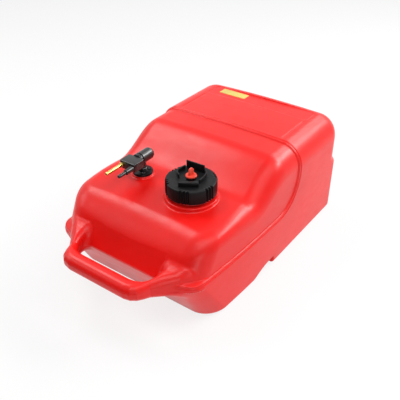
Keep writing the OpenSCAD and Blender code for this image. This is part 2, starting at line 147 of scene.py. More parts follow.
# The studio, in metres and degrees
CAMERA_PLACE = (0.5395, -0.7385, 0.7126)
CAMERA_DIP = 34.1
CAMERA_TURN = 35.7
FLOOR_REACH = 12.0
FLOOR_GLOW = 0.8
LIGHTS_AIM = (0, 0, 0.1)
LIGHTS = (
    # name, setting, degrees round from the handle end, degrees up, distance, size
    ("left_softbox", "left_light", -90, 55, 1.9, (0.8, 0.8)),
    ("near_softbox", "near_light", -60, 30, 2.0, (0.9, 0.7)),
    ("front_softbox", "front_light", 30, 60, 1.9, (0.9, 0.9)),
    ("right_softbox", "right_light", 90, 60, 1.9, (1.0, 1.0)),
    ("corner_strip", "corner_light", 45, 9, 1.9, (0.3, 0.7)),
    ("edge_strip", "edge_light", 141, 36, 2.0, (1.0, 0.5)),
    ("rear_strip", "rear_light", 170, 40, 2.0, (1.0, 0.6)),
)

NOISE_LOW, NOISE_HIGH = 0.3, 0.7


def ease(t):
    """A smooth step from 0 to 1."""
    t = np.clip(t, 0.0, 1.0)
    return t * t * (3 - 2 * t)


def roof(y):
    """Height of the roof over a place along the tank."""
    run = SLOPE_LENGTH + 2 * SLOPE_RUN_OUT
    drop = DECK_DROP * ease((SLOPE_TOP + SLOPE_RUN_OUT - y) / run)
    fall = DECK_FALL * np.maximum(0, SLOPE_FOOT - y) / (SLOPE_FOOT - FRONT)
    return BODY_HEIGHT - drop - fall


DECK = float(roof(FILLER[1])) - HOOD_INSET
RING_TOP = DECK + 3.0
RIM_TOP = DECK + 31.0
CAP_UNDER = RIM_TOP + 2.8
CAP_TOP = CAP_UNDER + 3.0
SEAT = RING_TOP + 5.0
BARREL = SEAT + 26.0
BUSH_TOP = CAP_TOP + 2.5


# Turns a form that is drawn upright so that it points at the handle end
AHEAD = Matrix.Rotation(pi / 2, 4, "X")


# ---------------------------------------------------------------- surface fields


def both(a, b, r):
    """Where two solids overlap, with the edge between them rounded to r."""
    u = np.maximum(a + r, 0)
    v = np.maximum(b + r, 0)
    return np.sqrt(u * u + v * v) - r + np.minimum(0, np.maximum(a, b) + r)


def either(a, b, r):
    """Two solids joined, with a fillet of r between them."""
    return -both(-a, -b, r)


def body_field(x, y, z):
    """How far a point lies outside the body at its full width; negative inside."""
    bow = (np.maximum(0, BOW_START - y) / (BOW_START - FRONT)) ** 2
    side = BODY_WIDTH / 2 - SIDE_BOW * bow
    nose = (
        FRONT
        + RAKE * np.maximum(0, z - BAND_HEIGHT)
        + UNDERCUT * np.maximum(0, BAND_LOW - z) / BAND_LOW
    )
    front = (nose - y) * np.where(z < BAND_LOW, UNDER_COS, 1.0)
    # the upright corners are tight on the band and the tub, and wide on the hood above them
    tight = ease((BAND_HEIGHT + 3 - z) / 3)
    flare = TUB_FLARE * np.maximum(0, BAND_HEIGHT - z) / BAND_HEIGHT
    front_r = HOOD_CORNER - (HOOD_CORNER - BAND_CORNER) * tight + flare
    tight = ease((BAND_HEIGHT + 27 - z) / 16)
    rear_r = REAR_CORNER - (REAR_CORNER - REAR_TUB_CORNER) * tight
    plan = both(both(np.abs(x) - side, front, front_r), y - REAR, rear_r)
    crown = CROWN * (1 - ease((ROLL_START - y) / CROWN_FADE))
    up = (z - roof(y)) * SLOPE_COS + crown * (2 * x / BODY_WIDTH) ** 2
    roll = EDGE_RADIUS + (NOSE_RADIUS - EDGE_RADIUS) * ease((ROLL_START - y) / ROLL_FADE)
    # between the corners the nose rolls over in one long curve
    bulge = NOSE_BULGE * np.clip(1 - (x / NOSE_HALF_WIDTH) ** 2, 0, 1)
    roll = roll + bulge * ease((FRONT + 130 - y) / 100)
    return both(both(plan, up, roll), -z, FOOT_RADIUS)


def band_edge(y, z):
    """How far a side-view point lies above the band's edge or ahead of its sweep."""
    centre_y = STEP - BAND_SWEEP
    centre_z = BAND_HEIGHT + BAND_SWEEP
    return BAND_SWEEP - np.hypot(np.maximum(y - centre_y, 0), np.maximum(centre_z - z, 0))


def outline_field(x, y, points):
    """Signed distance to a closed plan outline."""
    best = None
    inside = None
    count = len(points)
    for i in range(count):
        ax, ay = points[i]
        bx, by = points[(i + 1) % count]
        ex, ey = bx - ax, by - ay
        t = np.clip(((x - ax) * ex + (y - ay) * ey) / (ex * ex + ey * ey), 0, 1)
        d = (x - ax - t * ex) ** 2 + (y - ay - t * ey) ** 2
        best = d if best is None else np.minimum(best, d)
        crosses = ((ay > y) != (by > y)) & (x < ex * (y - ay) / (ey if ey else 1e-9) + ax)
        inside = crosses if inside is None else inside ^ crosses
    return np.where(inside, -1.0, 1.0) * np.sqrt(best)


def mirrored(right):
    """A plan outline whose right half is given, from the handle end to the rear."""
    return right + [(-px, py) for px, py in reversed(right)]


def handle_outline():
    """Outer plan outline of the handle, from one root round to the other."""
    bar = FRONT - HANDLE_REACH
    return mirrored([
        (58.0, bar), (71.0, bar + 3.0), (80.0, bar + 10.5), (85.0, bar + 20.5), (89.0, bar + 32.0),
        (100.5, FRONT - 19.0), (110.0, FRONT - 9.0), (119.5, FRONT + 2.0), (126.0, FRONT + 20.0),
    ])


def hand_hole_outline():
    """Plan outline of the gap behind the grip, which widens and runs on into the nose."""
    return mirrored([
        (50.0, FRONT - 37.0), (61.0, FRONT - 35.5), (70.0, FRONT - 31.0), (76.5, FRONT - 23.0),
        (80.5, FRONT - 12.0), (82.5, FRONT + 2.0), (83.0, FRONT + 45.0),
    ])


def box_field(u, v, half_u, half_v, r):
    """Signed distance to a rectangle with corners rounded to r."""
    a = np.abs(u) - half_u + r
    b = np.abs(v) - half_v + r
    return np.hypot(np.maximum(a, 0), np.maximum(b, 0)) + np.minimum(np.maximum(a, b), 0) - r


def banded_field(x, y, z):
    """The tub with its band, and the hood set in above it."""
    body = body_field(x, y, z)
    edge = band_edge(y, z)
    # the finger recess fades out towards the top of the rear block
    back = ease((y - 252) / 6) * ease((z - RECESS_LOW) / 2.5) * ease((RECESS_HIGH - z) / 40)
    back = back * ease((RECESS_HALF_WIDTH - np.abs(x)) / 8)
    body = body + RECESS_DEPTH * back
    banded = both(body, edge + LIP_WIDTH, 1.6)
    lip = both(body + LIP_INSET, edge, 1.6)
    moulding = either(either(banded, lip, 1.2), body + HOOD_INSET, 1.8)
    # between the handle's legs the nose runs straight down over the band
    nose = (FRONT + 4.5 + RAKE * (z - BAND_HEIGHT) - y) * RAKE_COS
    beside = 1 - ease((LEG_GAP_HALF - np.abs(x - HANDLE_X)) / 20)
    return np.maximum(moulding, nose - 20 * beside)


def handle_field(x, y, z):
    """The grip and its legs, which grow deeper towards the body."""
    hx = x - HANDLE_X
    hole = outline_field(hx, y, hand_hole_outline())
    plan = both(outline_field(hx, y, handle_outline()), -hole, 1.0)
    sink = ROOT_SINK * np.clip((y - FRONT + 56) / 56, 0, 1) * ease((np.abs(hx) - 40) / 30)
    rise = ROOT_RISE * ease((y - FRONT + 34) / 46) * ease((np.abs(hx) - 62) / 24)
    middle = GRIP_HEIGHT + (rise - sink) / 2
    depth = np.abs(z - middle) - GRIP_HALF_DEPTH - (sink + rise) / 2
    return both(plan, depth, GRIP_ROUNDING)


def tank_field(x, y, z):
    """The whole moulding: banded body, hood, handle, neck and boss; negative inside."""
    moulding = banded_field(x, y, z)
    # shallow creases beside the raised panel on the rear block
    crease = np.exp(-(((np.abs(x) - CREASE_X) / 1.6) ** 2))
    crease = crease * ease((y - STEP - 6) / 8) * ease((196 - y) / 8)
    moulding = moulding + CREASE_DEPTH * crease * ease((z - 205) / 6)
    strip = box_field(x, y - STRIP_PLACE, STRIP_HALF_WIDTH, STRIP_HALF_LENGTH, 8)
    moulding = both(moulding, -both(strip, BODY_HEIGHT - STRIP_DEPTH - z, 1.0), 1.4)
    moulding = either(moulding, handle_field(x, y, z), ROOT_FILLET)
    # the neck, its ring and the pickup boss end inside the tank, and are bored through
    root = DECK - 30 - z
    reach = np.hypot(x - FILLER[0], y - FILLER[1])
    ring = both(reach - NECK_RING, z - RING_TOP - NECK_RING_LIFT, 1.6)
    moulding = either(moulding, np.maximum(ring, root), 2.5)
    neck = both(reach - NECK_RADIUS, z - RIM_TOP, 1.0)
    moulding = either(moulding, np.maximum(neck, root), 2.0)
    moulding = both(moulding, -both(reach - NECK_BORE, DECK - 45 - z, 1.0), 1.0)
    reach = np.hypot(x - PICKUP[0], y - PICKUP[1])
    boss = both(reach - BOSS_RADIUS, z - RING_TOP, 1.2)
    moulding = either(moulding, np.maximum(boss, root), 2.0)
    moulding = both(moulding, -both(reach - BOSS_BORE, RING_TOP - 25 - z, 1.0), 0.8)
    # the arch across the underside
    radius = (ARCH_HALF_LENGTH**2 + ARCH_RISE**2) / (2 * ARCH_RISE)
    arch = np.hypot(y - ARCH_PLACE, z - ARCH_RISE + radius) - radius
    arch = both(arch, y - ARCH_END, 1.0)
    return both(moulding, -both(arch, -z - 12, 1.0), 3.0)


def surface_net(field, low, high, step):
    """Vertices and quads of the zero surface of a field, on a regular grid."""
    axes = [np.arange(low[i], high[i] + step, step) for i in range(3)]
    x, y, z = axes[0][:, None, None], axes[1][None, :, None], axes[2][None, None, :]
    f = np.empty((len(axes[0]), len(axes[1]), len(axes[2])), np.float32)
    for i in range(0, len(axes[0]), 24):
        f[i : i + 24] = field(x[i : i + 24], y, z)
    s = f < 0
    total = np.zeros(tuple(n - 1 for n in f.shape), np.int8)
    corners = [(i, j, k) for i in (0, 1) for j in (0, 1) for k in (0, 1)]
    nx, ny, nz = total.shape
    for i, j, k in corners:
        total += s[i : i + nx, j : j + ny, k : k + nz]
    cells = np.argwhere((total > 0) & (total < 8))
    cx, cy, cz = cells.T
    values = np.stack([f[cx + i, cy + j, cz + k] for i, j, k in corners], 1)
    place = np.zeros((len(cells), 3))
    hits = np.zeros(len(cells))
    for a in range(8):
        for b in range(a + 1, 8):
            da = np.array(corners[b]) - np.array(corners[a])
            if np.abs(da).sum() != 1:
                continue
            va, vb = values[:, a], values[:, b]
            crossed = (va < 0) != (vb < 0)
            t = np.where(crossed, va / np.where(crossed, va - vb, 1), 0)
            place += crossed[:, None] * (np.array(corners[a]) + t[:, None] * da)
            hits += crossed
    points = (cells + place / hits[:, None]) * step + np.array(low)
    index = np.full(total.shape, -1, np.int32)
    index[tuple(cells.T)] = np.arange(len(cells))
    quads = []
    for axis in range(3):
        o1, o2 = [(1, 2), (2, 0), (0, 1)][axis]
        lo = [slice(None)] * 3
        hi = [slice(None)] * 3
        lo[axis], hi[axis] = slice(None, -1), slice(1, None)
        sa, sb = s[tuple(lo)], s[tuple(hi)]
        edges = np.argwhere(sa != sb)
        across = edges[:, [o1, o2]]
        last = np.array([f.shape[o1], f.shape[o2]]) - 1
        edges = edges[((across > 0) & (across < last)).all(1)]
        inside_first = sa[tuple(edges.T)]
        ring = []
        for d1, d2 in ((1, 1), (0, 1), (0, 0), (1, 0)):
            c = edges.copy()
            c[:, o1] -= d1
            c[:, o2] -= d2
            ring.append(index[tuple(c.T)])
        ring = np.stack(ring, 1)
        ring[~inside_first] = ring[~inside_first][:, ::-1]
        quads.append(ring)
    return points, np.concatenate(quads)


def settle(field, points, step, rounds=4):
    """Moves points onto the zero surface and returns them with its normals."""

    def slope(p):
        h = 0.25
        g = np.empty_like(p)
        for i in range(3):
            d = np.zeros(3)
            d[i] = h
            g[:, i] = (field(*(p + d).T) - field(*(p - d).T)) / (2 * h)
        return g

    start = points.copy()
    for _ in range(rounds):
        g = slope(points)
        v = field(*points.T)
        move = -(v / np.maximum((g * g).sum(1), 0.25))[:, None] * g
        points = points + np.clip(move, -step / 2, step / 2)
        points = start + np.clip(points - start, -step * 0.7, step * 0.7)
    g = slope(points)
    return points, g / np.linalg.norm(g, axis=1)[:, None]


# ---------------------------------------------------------------- mesh helpers


def new_object(name, mesh, body, material, replaced=()):
    """Puts a mesh in the scene as a piece that rides on a body."""
    piece = bpy.data.objects.new(name, mesh)
    bpy.context.scene.collection.objects.link(piece)
    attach(piece, body)
    if replaced:
        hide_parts(*replaced)
    mesh.materials.append(material)


def add_piece(bm, name, body, material, replaced=(), sharp=32.0):
    """Turns a bmesh into a smooth piece whose steep edges stay sharp."""
    bmesh.ops.remove_doubles(bm, verts=bm.verts, dist=1e-6)
    bmesh.ops.recalc_face_normals(bm, faces=bm.faces)
    limit = radians(sharp)
    for face in bm.faces:
        face.smooth = True
    for e in bm.edges:
        e.smooth = len(e.link_faces) == 2 and e.calc_face_angle(0.0) < limit
    mesh = bpy.data.meshes.new(name)
    bm.to_mesh(mesh)
    bm.free()
    new_object(name, mesh, body, material, replaced)


def turned_point(bm, place, r, t, h):
    """A vertex at a radius, turn and height about a place's axis, in millimetres."""
    return bm.verts.new(place @ Vector((r * cos(t) * MM, r * sin(t) * MM, h * MM)))


def join_rings(bm, a, b):
    """Faces between two rings of vertices, where a ring of one is a tip."""
    if len(a) == 1 and len(b) == 1:
        return
    count = max(len(a), len(b))
    for i in range(count):
        j = (i + 1) % count
        if len(a) == 1:
            bm.faces.new((a[0], b[j], b[i]))
        elif len(b) == 1:
            bm.faces.new((a[i], a[j], b[0]))
        else:
            bm.faces.new((a[i], a[j], b[j], b[i]))


def lathe(bm, profile, segments, place, radial=None, ring=False):
    """Adds a turned form from [radius, height] points in millimetres.

    It is closed at both ends, or a ring whose closed profile doesn't touch the axis.
    """
    rings = []
    for r, h in profile:
        if r < 1e-6:
            rings.append([bm.verts.new(place @ Vector((0, 0, h * MM)))])
            continue
        turns = [2 * pi * i / segments for i in range(segments)]
        rings.append([
            turned_point(bm, place, radial(r, h, t) if radial else r, t, h) for t in turns
        ])
    for a, b in zip(rings, rings[1:] + rings[:1] if ring else rings[1:]):
        join_rings(bm, a, b)
    if ring:
        return
    if len(rings[0]) > 1:
        bm.faces.new(rings[0][::-1])
    if len(rings[-1]) > 1:
        bm.faces.new(rings[-1])


def prism(outline, low, high, edge, place, segments):
    """An extruded outline in millimetres with bevelled edges, as a bmesh."""
    bm = bmesh.new()
    base = [bm.verts.new(Vector((px * MM, py * MM, low * MM))) for px, py in outline]
    face = bm.faces.new(base)
    top = bmesh.ops.extrude_face_region(bm, geom=[face])["geom"]
    top = [v for v in top if isinstance(v, bmesh.types.BMVert)]
    bmesh.ops.translate(bm, verts=top, vec=(0, 0, (high - low) * MM))
    bmesh.ops.recalc_face_normals(bm, faces=bm.faces)
    picked = [e for e in bm.edges if e.calc_face_angle(0.0) > radians(40)]
    bmesh.ops.bevel(
        bm, geom=picked, offset=edge * MM, segments=segments, profile=0.5, affect="EDGES",
        clamp_overlap=True,
    )
    bmesh.ops.transform(bm, matrix=place, verts=bm.verts)
    return bm


def at(x, y, z=0.0):
    """A place in the tank's frame, from millimetres."""
    return Matrix.Translation(Vector((x * MM, y * MM, z * MM)))


def arc(cx, cy, r, start, end, count):
    """Points of an arc, in degrees."""
    turns = [radians(start + (end - start) * i / count) for i in range(count + 1)]
    return [(cx + r * cos(t), cy + r * sin(t)) for t in turns]


# ---------------------------------------------------------------- finishes


class Finish:
    """A node material whose colour, roughness and bump come from noise in the object's frame."""

    def __init__(self, name):
        self.material = bpy.data.materials.new(name)
        self.material.use_nodes = True
        self.tree = self.material.node_tree
        self.shader = self.tree.nodes["Principled BSDF"]
        self.coords = self.tree.nodes.new("ShaderNodeTexCoord")
        self.height = None

    def noise(self, scale, detail=2.0, stretch=(1, 1, 1)):
        """Noise of a given number of cells to the metre."""
        mapping = self.tree.nodes.new("ShaderNodeMapping")
        mapping.inputs["Scale"].default_value = [scale * s for s in stretch]
        node = self.tree.nodes.new("ShaderNodeTexNoise")
        node.inputs["Scale"].default_value = 1.0
        node.inputs["Detail"].default_value = detail
        self.tree.links.new(self.coords.outputs["Object"], mapping.inputs["Vector"])
        self.tree.links.new(mapping.outputs["Vector"], node.inputs["Vector"])
        return node.outputs["Fac"]

    def ramp(self, source, low, high):
        """Maps a noise value onto a range."""
        node = self.tree.nodes.new("ShaderNodeMapRange")
        node.inputs["From Min"].default_value = NOISE_LOW
        node.inputs["From Max"].default_value = NOISE_HIGH
        node.inputs["To Min"].default_value = low
        node.inputs["To Max"].default_value = high
        self.tree.links.new(source, node.inputs["Value"])
        return node.outputs["Result"]

    def colour(self, colour, darker, lighter, source):
        """Base colour that wanders between two shares of one colour."""
        node = self.tree.nodes.new("ShaderNodeMix")
        node.data_type = "RGBA"
        for socket, share in ((6, darker), (7, lighter)):
            shade = [min(1.0, c * share) for c in colour[:3]]
            node.inputs[socket].default_value = (*shade, 1)
        self.tree.links.new(self.ramp(source, 0, 1), node.inputs[0])
        self.tree.links.new(node.outputs[2], self.shader.inputs["Base Color"])

    def roughness(self, source, low, high):
        """Roughness that wanders between two values."""
        self.tree.links.new(self.ramp(source, low, high), self.shader.inputs["Roughness"])

    def bump(self, source, depth, strength):
        """Adds relief of a depth in metres."""
        node = self.tree.nodes.new("ShaderNodeBump")
        node.inputs["Strength"].default_value = strength
        node.inputs["Distance"].default_value = depth
        self.tree.links.new(source, node.inputs["Height"])
        if self.height:
            self.tree.links.new(self.height, node.inputs["Normal"])
        self.height = node.outputs["Normal"]
        self.tree.links.new(self.height, self.shader.inputs["Normal"])

    def set(self, **values):
        """Sets plain values on the shader's own sockets."""
        for key, value in values.items():
            socket = key.replace("_", " ").title().replace("Ior", "IOR")
            self.shader.inputs[socket].default_value = value


def moulded_red(colour):
    """Polyethylene with a soft sheen, a faint wave in its walls and small handling marks."""
    f = Finish("blow_moulded_red")
    f.colour(colour, 0.93, 1.06, f.noise(7, 3))
    f.roughness(f.noise(38, 4, (1, 1, 2.5)), 0.28, 0.37)
    f.bump(f.noise(5.5, 1), 0.004, 0.35)
    f.bump(f.noise(60), 0.0004, 0.3)
    f.bump(f.noise(620), 0.00012, 0.35)
    f.set(ior=1.5, specular_ior_level=0.34)
    return f.material


def grained_plastic(colour, name, low, high, depth=0.0001):
    """Injection-moulded plastic with a fine grain."""
    f = Finish(name)
    f.colour(colour, 0.75, 1.5, f.noise(60, 4))
    f.roughness(f.noise(140, 3), low, high)
    f.bump(f.noise(1600), depth, 0.5)
    f.set(ior=1.5, specular_ior_level=0.17)
    return f.material


def turned_metal(colour, name, low, high, along=(1, 1, 1)):
    """Metal with fine tool lines across its length."""
    f = Finish(name)
    f.colour(colour, 0.8, 1.12, f.noise(90, 3))
    lines = f.noise(260, 2, along)
    f.roughness(lines, low, high)
    f.bump(lines, 0.00003, 0.6)
    f.set(metallic=1.0)
    return f.material


def soft_rubber(colour):
    """Dull rubber with a dusty bloom."""
    f = Finish("sealing_rubber")
    f.colour(colour, 0.8, 2.0, f.noise(220, 4))
    f.roughness(f.noise(400, 3), 0.62, 0.8)
    f.bump(f.noise(900), 0.00008, 0.5)
    return f.material


def plain_film(colour):
    """Smooth yellow film, a little uneven where it has aged."""
    f = Finish("yellow_film")
    f.colour(colour, 0.94, 1.04, f.noise(45, 4))
    f.roughness(f.noise(90, 3), 0.34, 0.46)
    f.bump(f.noise(130), 0.0001, 0.4)
    return f.material


def milky_plastic(colour):
    """Milky tubing and strainer plastic."""
    f = Finish("milky_plastic")
    f.colour(colour, 0.9, 1.05, f.noise(70, 3))
    f.roughness(f.noise(120, 3), 0.3, 0.45)
    f.bump(f.noise(700), 0.00006, 0.4)
    return f.material


def woven_steel(colour):
    """Fine mesh, shown as crossing ridges."""
    f = Finish("woven_steel")
    f.colour(colour, 0.6, 1.1, f.noise(1800, 1))
    f.roughness(f.noise(1200), 0.3, 0.5)
    f.bump(f.noise(2200, 1), 0.0002, 0.9)
    f.set(metallic=1.0)
    return f.material


# ---------------------------------------------------------------- settings


def length_property(name, description, default, least=0.0):
    """A length in metres that a user can change."""
    return FloatProperty(
        name=name, description=description, default=default, min=least, subtype="DISTANCE",
        unit="LENGTH",
    )


def power_property(name, description, default):
    """The power of a light that a user can change."""
    return FloatProperty(
        name=name, description=description, default=default, min=0.0, subtype="POWER", unit="POWER"
    )


def colour_property(name, description, default):
    """A colour that a user can change."""
    return FloatVectorProperty(
        name=name, description=description, default=default, size=3, min=0.0, max=1.0,
        subtype="COLOR",
    )


class TankSizes(PropertyGroup):
    """Sizes of the detail that the skin and its fittings carry."""

    skin_step: length_property("Skin Step", "Size of the skin's mesh cells", 0.002, 0.0015)
    groove_depth: length_property("Groove Depth", "Depth of the cap's finger grooves", 0.0022)
    thread_lead: length_property(
        "Thread Lead", "Rise of the neck thread in one turn", 0.008, 0.002
    )
    thread_depth: length_property(
        "Thread Depth", "How far the neck thread stands out", 0.0009
    )
    guard_low: length_property(
        "Guard Height", "Height of the low walls round the vent knob", 0.007
    )
    guard_tall: length_property(
        "Guard Back Height", "Height of the wall behind the vent knob", 0.014
    )
    fin_height: length_property("Fin Height", "Height of the vent knob's fin", 0.0135)
    label_width: length_property("Label Width", "Width of the blank label", 0.061)
    label_length: length_property("Label Length", "Length of the blank label", 0.021)


class TankColours(PropertyGroup):
    """Colours of the finishes."""

    red: colour_property("Tank Red", "Colour of the moulded tank", (0.80, 0.007, 0.005))
    knob: colour_property("Knob Red", "Colour of the vent knob", (0.95, 0.075, 0.045))
    cap: colour_property("Cap Black", "Colour of the filler cap", (0.004, 0.004, 0.0045))
    fitting: colour_property(
        "Fitting Black", "Colour of the pickup fitting", (0.004, 0.004, 0.0045)
    )
    rubber: colour_property("Rubber", "Colour of the seals", (0.018, 0.018, 0.018))
    brass: colour_property("Brass", "Colour of the fuel prong", (0.72, 0.55, 0.17))
    steel: colour_property("Steel", "Colour of the clips and mesh", (0.58, 0.59, 0.61))
    screw: colour_property("Screw", "Colour of the blackened screws", (0.05, 0.05, 0.052))
    milky: colour_property("Tube", "Colour of the suction tube", (0.74, 0.74, 0.68))
    label: colour_property("Label", "Colour of the blank label", (0.62, 0.49, 0.11))


class StudioSettings(PropertyGroup):
    """Light, floor and lens."""

    floor: colour_property("Floor", "Colour of the floor", (0.86, 0.86, 0.86))
    sky: FloatProperty(
        name="Sky Light", description="Strength of the light from all round", default=0.16, min=0.0
    )
    left_light: power_property("Left Light", "Power of the high softbox on the left", 14.0)
    near_light: power_property(
        "Near Light", "Power of the small softbox at the handle end, on the left", 5.5
    )
    front_light: power_property(
        "Front Light", "Power of the softbox above the handle end, on the right", 8.5
    )
    right_light: power_property("Right Light", "Power of the high softbox on the right", 6.5)
    corner_light: power_property(
        "Corner Light", "Power of the low strip at the front right", 3.0
    )
    edge_light: power_property(
        "Edge Light", "Power of the strip behind the tank, on the right", 23.0
    )
    rear_light: power_property("Rear Light", "Power of the strip behind the tank", 10.0)
    lens: FloatProperty(
        name="Lens", description="Focal length on a 36 mm sensor, in millimetres", default=52.29,
        min=10.0,
    )


def sizes():
    """The scene's tank sizes."""
    return bpy.context.scene.fuel_tank_sizes


def colours():
    """The scene's tank colours."""
    return bpy.context.scene.fuel_tank_colours


# ---------------------------------------------------------------- pieces


def build_skin():
    """The moulding as one skin, with its handle, neck and boss."""
    step = sizes().skin_step / MM
    margin = 2 * step
    low = (-BODY_WIDTH / 2 - margin, FRONT - HANDLE_REACH - margin, -margin)
    high = (BODY_WIDTH / 2 + margin, REAR + margin, BODY_HEIGHT + margin)
    points, quads = surface_net(tank_field, low, high, step)
    points, normals = settle(tank_field, points, step)
    mesh = bpy.data.meshes.new("tank_skin")
    mesh.from_pydata(points * MM, [], quads)
    mesh.polygons.foreach_set("use_smooth", np.ones(len(quads), bool))
    mesh.update()
    mesh.normals_split_custom_set_from_vertices(normals.astype(np.float32))
    red = moulded_red(colours().red)
    new_object("tank_skin", mesh, "tank", red, ("tank_shell",))


def thread_ridge(bm, radius, low, high, depth, place, inward=False):
    """A thread's ridge, in millimetres, that fades in and out at its ends."""
    lead = sizes().thread_lead / MM
    segments = 72
    count = int((high - low) / lead * segments)
    sign = -1 if inward else 1
    foot, half_foot, half_crest = -0.4, 1.1, 1.1 * 0.35
    rings = []
    for i in range(count + 1):
        t = 2 * pi * i / segments
        z = low + lead * i / segments
        share = float(ease(min(i, count - i) / (segments / 8)))
        d = max(0.05, depth * share)
        section = ((foot, -half_foot), (d, -half_crest), (d, half_crest), (foot, half_foot))
        rings.append([turned_point(bm, place, radius + sign * dr, t, z + dz) for dr, dz in section])
    for a, b in zip(rings, rings[1:]):
        join_rings(bm, a, b)
    bm.faces.new(rings[0][::-1])
    bm.faces.new(rings[-1])


def build_neck_thread():
    """The filler neck's thread, which the cap hides when it is closed."""
    bm = bmesh.new()
    depth = sizes().thread_depth / MM
    thread_ridge(bm, NECK_RADIUS, RIM_TOP - 15.5, RIM_TOP - 3.0, depth, at(*FILLER))
    add_piece(bm, "neck_thread", "tank", bpy.data.materials["blow_moulded_red"])


def wall_outline(points, thick):
    """Plan outline of a wall of even thickness along a line of points, with round ends."""
    p = [Vector(q) for q in points]
    left, right = [], []
    for i, q in enumerate(p):
        a = p[max(0, i - 1)]
        b = p[min(len(p) - 1, i + 1)]
        d = (b - a).normalized()
        n = Vector((-d.y, d.x)) * thick / 2
        left.append(q + n)
        right.append(q - n)
    d0 = (p[1] - p[0]).normalized() * thick / 3
    d1 = (p[-1] - p[-2]).normalized() * thick / 3
    ends0 = [(right[0] * 0.7 + left[0] * 0.3) - d0, (right[0] * 0.3 + left[0] * 0.7) - d0]
    ends1 = [(left[-1] * 0.7 + right[-1] * 0.3) + d1, (left[-1] * 0.3 + right[-1] * 0.7) + d1]
    return [tuple(v) for v in ends0 + left + ends1 + right[::-1]]


def curve_through(points, count):
    """Points of a smooth line through a few points."""
    p = [Vector(q) for q in points]
    p = [p[0] * 2 - p[1]] + p + [p[-1] * 2 - p[-2]]
    out = []
    for a, b, c, d in zip(p, p[1:], p[2:], p[3:]):
        for k in range(count):
            t = k / count
            square, cube = 2 * a - 5 * b + 4 * c - d, 3 * b - a - 3 * c + d
            out.append(0.5 * (2 * b + (c - a) * t + square * t * t + cube * t**3))
    out.append(p[-2])
    return [tuple(v) for v in out]


def build_cap():
    """Filler cap with grouped finger grooves, and its guard."""
    s = sizes()
    deep = s.groove_depth / MM
    top = CAP_TOP
    low = top - CAP_HEIGHT

    def grooved(r, h, t):
        """Cuts three grooves in each sixth of the skirt's outside."""
        if r < 40:
            return r
        turn = (degrees(t) + 10 + 30) % 60 - 30
        cut = 0.0
        for centre in (-8.0, 0.0, 8.0):
            off = abs(turn - centre) / 2.9
            if off < 1:
                cut = max(cut, sqrt(1 - off * off))
        # the grooves run out deeper through the rim, and between the groups is a slight flat
        notch = 1 + 1.1 * float(ease((h - top + 5) / 3))
        return r - deep * notch * cut - 0.25 * float(ease((abs(turn) - 14) / 10))

    profile = [
        (38.3, low + 0.6), (38.9, low), (43.2, low), (43.9, low + 0.7), (44.0, low + 6),
        (44.0, top - 2.2), (43.7, top - 1.0), (42.9, top - 0.25), (41.8, top), (36.0, top),
        (34.8, top - 0.35), (20.0, top - 0.35), (10.2, top - 0.2), (9.3, top), (7.1, top),
        (7.1, CAP_UNDER), (30.0, CAP_UNDER), (37.4, CAP_UNDER), (38.3, CAP_UNDER - 0.9),
    ]
    black = grained_plastic(colours().cap, "cap_black", 0.36, 0.52)
    bm = bmesh.new()
    lathe(bm, profile, 540, at(*FILLER), grooved, ring=True)
    add_piece(bm, "cap_moulding", "cap", black, ("filler_cap",), 40)
    bm = bmesh.new()
    thread_ridge(bm, CAP_ROOT, low + 3.0, CAP_UNDER - 5.0, 0.9, at(*FILLER), inward=True)
    add_piece(bm, "cap_thread", "cap", black)
    high = s.guard_low / MM
    tall = s.guard_tall / MM
    right = [(10.5, 26.5), (15.4, 21.5), (18.2, 15), (19.8, 6), (20, -4.5)]
    left = [(-27.4, 20), (-28.6, 10), (-28.2, 0), (-24, -6), (-17.5, -10.5)]
    walls = [
        ("guard_back", wall_outline([(-27.5, 25.4), (7.5, 27.4)], 2.4), tall),
        ("guard_right", wall_outline(curve_through(right, 6), 2.2), high),
        ("guard_left", wall_outline(curve_through(left, 6), 2.2), high),
        ("guard_front", [(-5, -30), (-1.6, -32.4), (26, -14), (19.6, -9)], high),
    ]
    for name, outline, rise in walls:
        bm = prism(outline, top - 0.8, top + rise, 0.6, at(*FILLER), 2)
        add_piece(bm, name, "cap", black, sharp=50)


def build_vent():
    """Red vent knob with its upright thumb fin."""
    base = BUSH_TOP + 1.6
    red = grained_plastic(colours().knob, "knob_red", 0.25, 0.36, 0.00004)
    bm = bmesh.new()
    profile = [
        (0, CAP_UNDER - 2.2), (3.4, CAP_UNDER - 2.2), (4.0, CAP_UNDER - 1.6), (4.0, base),
        (8.8, base), (9.7, base + 0.5), (9.9, base + 1.4), (9.6, base + 2.4), (8.9, base + 2.9),
        (7.6, base + 2.7), (0, base + 2.7),
    ]
    lathe(bm, profile, 96, at(*FILLER))
    add_piece(bm, "vent_disc", "vent_screw", red, ("vent_knob",))
    rise = sizes().fin_height / MM
    half = 5.0
    outline = [
        (-half - 0.8, 0), (half + 0.8, 0), (half + 0.1, 1.5),
        *arc(0, rise - half, half, 0, 180, 20), (-half - 0.1, 1.5),
    ]
    place = at(*FILLER, base + 2.4) @ Matrix.Rotation(radians(80), 4, "Z") @ AHEAD
    bm = prism(outline, -1.9, 1.9, 1.0, place, 4)
    add_piece(bm, "vent_fin", "vent_screw", red, sharp=50)


